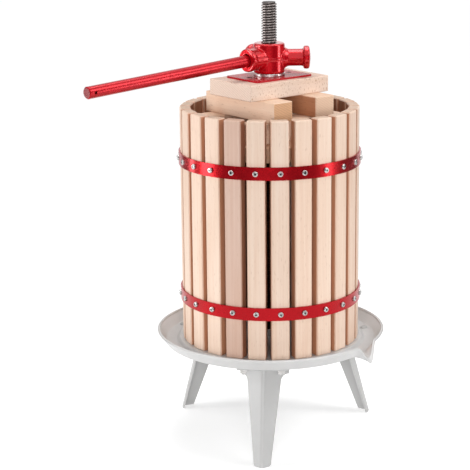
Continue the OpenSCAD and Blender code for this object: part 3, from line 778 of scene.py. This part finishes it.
def threaded_spindle():
    low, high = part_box("spindle")
    outer = high.x
    root = outer - THREAD_DEPTH
    profile = [(phase, outer if crest else root) for phase, crest in THREAD_FORM]
    turns = math.ceil((high.z - low.z) / THREAD_PITCH) + THREAD_SPARE_TURNS
    bm = bmesh.new()
    rows = []
    for step in range(turns * THREAD_SEGMENTS + 1):
        angle = 2 * math.pi * step / THREAD_SEGMENTS
        row = []
        for phase, radius in profile:
            z = low.z + THREAD_PITCH * (step / THREAD_SEGMENTS + phase - THREAD_RUN_IN)
            reach = min(z - low.z, high.z - z)
            radius = min(radius, outer - THREAD_BEVEL + max(reach, 0.0))
            row.append(bm.verts.new((radius * math.cos(angle), radius * math.sin(angle), z)))
        rows.append(row)
    for step in range(len(rows) - 1):
        for k in range(len(profile)):
            if k + 1 < len(profile):
                ring = [rows[step][k], rows[step + 1][k],
                        rows[step + 1][k + 1], rows[step][k + 1]]
            elif step + 1 + THREAD_SEGMENTS < len(rows):
                above = step + THREAD_SEGMENTS
                ring = [rows[step][k], rows[step + 1][k], rows[above + 1][0], rows[above][0]]
            else:
                continue
            bm.faces.new(ring)
    for z, out in ((low.z, -1), (high.z, 1)):
        cut = bmesh.ops.bisect_plane(
            bm, geom=bm.verts[:] + bm.edges[:] + bm.faces[:], dist=1e-7,
            plane_co=(0, 0, z), plane_no=(0, 0, out), clear_outer=True)
        edges = [e for e in cut["geom_cut"] if isinstance(e, bmesh.types.BMEdge)]
        bmesh.ops.contextual_create(bm, geom=edges)
    bmesh.ops.recalc_face_normals(bm, faces=bm.faces[:])
    steel = thread_steel("spindle_steel", root, outer)
    mesh_piece("threaded_spindle", bm, [steel], "base", "spindle")


# Stage, light and camera


def background_rays(s):
    """1 for the rays that see the background: from the camera, from gloss and through glass."""
    path = s.node("ShaderNodeLightPath")
    seen = s.math("MAXIMUM", path.outputs["Is Camera Ray"], path.outputs["Is Glossy Ray"])
    return s.math("MAXIMUM", seen, path.outputs["Is Transmission Ray"])


def studio_world():
    world = bpy.data.worlds.new("studio")
    bpy.context.scene.world = world
    world.use_nodes = True
    tree = world.node_tree
    path = tree.nodes.new("ShaderNodeLightPath")
    seen = path.outputs["Is Camera Ray"]
    for kind in ("Is Glossy Ray", "Is Transmission Ray"):
        either = tree.nodes.new("ShaderNodeMath")
        either.operation = "MAXIMUM"
        tree.links.new(seen, either.inputs[0])
        tree.links.new(path.outputs[kind], either.inputs[1])
        seen = either.outputs[0]
    strength = tree.nodes.new("ShaderNodeMapRange")
    tree.links.new(seen, strength.inputs["Value"])
    strength.inputs["To Min"].default_value = AMBIENT
    strength.inputs["To Max"].default_value = 1.0
    back = tree.nodes["Background"]
    back.inputs["Color"].default_value = (1.0, 1.0, 1.0, 1.0)
    tree.links.new(strength.outputs["Result"], back.inputs["Strength"])


def pale_floor():
    """A pale floor that takes the shadow and runs out into the white background."""
    bm = bmesh.new()
    bmesh.ops.create_circle(bm, cap_ends=True, segments=FLOOR_SEGMENTS, radius=FLOOR_RADIUS)
    floor = loose_object("floor", bm)
    s = Shader("pale_floor")
    place = s.coordinates()
    radius = s.node("ShaderNodeVectorMath", operation="LENGTH")
    s.link(place, radius.inputs[0])
    far = s.remap(radius.outputs["Value"], *FLOOR_FADE)
    tone = s.mix(far, FLOOR_TONE, FLOOR_FAR_TONE)
    glow = s.remap(far, 0.0, 1.0, FLOOR_GLOW, 1.0)
    s.link(s.math("MULTIPLY", background_rays(s), glow), s.bsdf.inputs["Emission Strength"])
    s.finish(Base_Color=tone, Roughness=0.9, Specular_IOR_Level=0.0,
             Emission_Color=(1.0, 1.0, 1.0))
    floor.data.materials.append(s.material)


def dark_wall():
    """The dark room round the front and sides of the stage, seen in gloss alone."""
    bm = bmesh.new()
    rows = []
    for k in range(WALL_PANELS + 1):
        foot = WALL_RADIUS * plan_direction(-math.pi / 2 + WALL_HALF * (2 * k / WALL_PANELS - 1))
        rows.append([bm.verts.new((foot.x, foot.y, z)) for z in (0.0, WALL_HEIGHT)])
    for low, high in zip(rows, rows[1:]):
        bm.faces.new((low[0], high[0], high[1], low[1]))
    wall = loose_object("dark_wall", bm)
    s = Shader("dark_cloth")
    s.finish(Base_Color=WALL_TONE, Roughness=1.0, Specular_IOR_Level=0.0)
    wall.data.materials.append(s.material)
    wall.visible_camera = False
    wall.visible_diffuse = False
    wall.visible_shadow = False
    wall.visible_transmission = False


def softbox(name, place, width, height, power):
    lamp = bpy.data.lights.new(name, "AREA")
    lamp.shape = "RECTANGLE"
    lamp.size = width
    lamp.size_y = height
    lamp.energy = power
    made = bpy.data.objects.new(name, lamp)
    made.location = place
    made.rotation_euler = (LAMP_AIM - Vector(place)).to_track_quat("-Z", "Y").to_euler()
    bpy.context.scene.collection.objects.link(made)


def lights():
    for lamp in LAMPS:
        softbox(*lamp)


def camera():
    lens = bpy.data.cameras.new("camera")
    lens.sensor_fit = "HORIZONTAL"
    lens.sensor_width = SENSOR_WIDTH
    lens.lens = SENSOR_WIDTH * FOCAL_PIXELS / IMAGE_SIDE
    lens.shift_x = (IMAGE_SIDE / 2 - CENTRE_COLUMN) / IMAGE_SIDE
    made = bpy.data.objects.new("camera", lens)
    tilt = Matrix.Rotation(math.pi / 2 - CAMERA_PITCH, 4, "X")
    roll = Matrix.Rotation(CAMERA_ROLL, 4, "Z")
    made.matrix_world = Matrix.Translation(CAMERA_PLACE) @ tilt @ roll
    bpy.context.scene.collection.objects.link(made)
    bpy.context.scene.camera = made


dress_staves()
dress_stack()
gloss_red, pan_white, zinc_plate, black_oxide, painted_recess_shade = dress_metal()
# The second material of the screws, in their recesses, is painted shade
hoop_screws([zinc_plate, painted_recess_shade])
plate_screws([black_oxide, painted_recess_shade])
threaded_spindle()
pressed_pan(pan_white)
cast_head(gloss_red)
studio_world()
pale_floor()
dark_wall()
lights()
camera()
bpy.context.scene.view_settings.view_transform = "Standard"
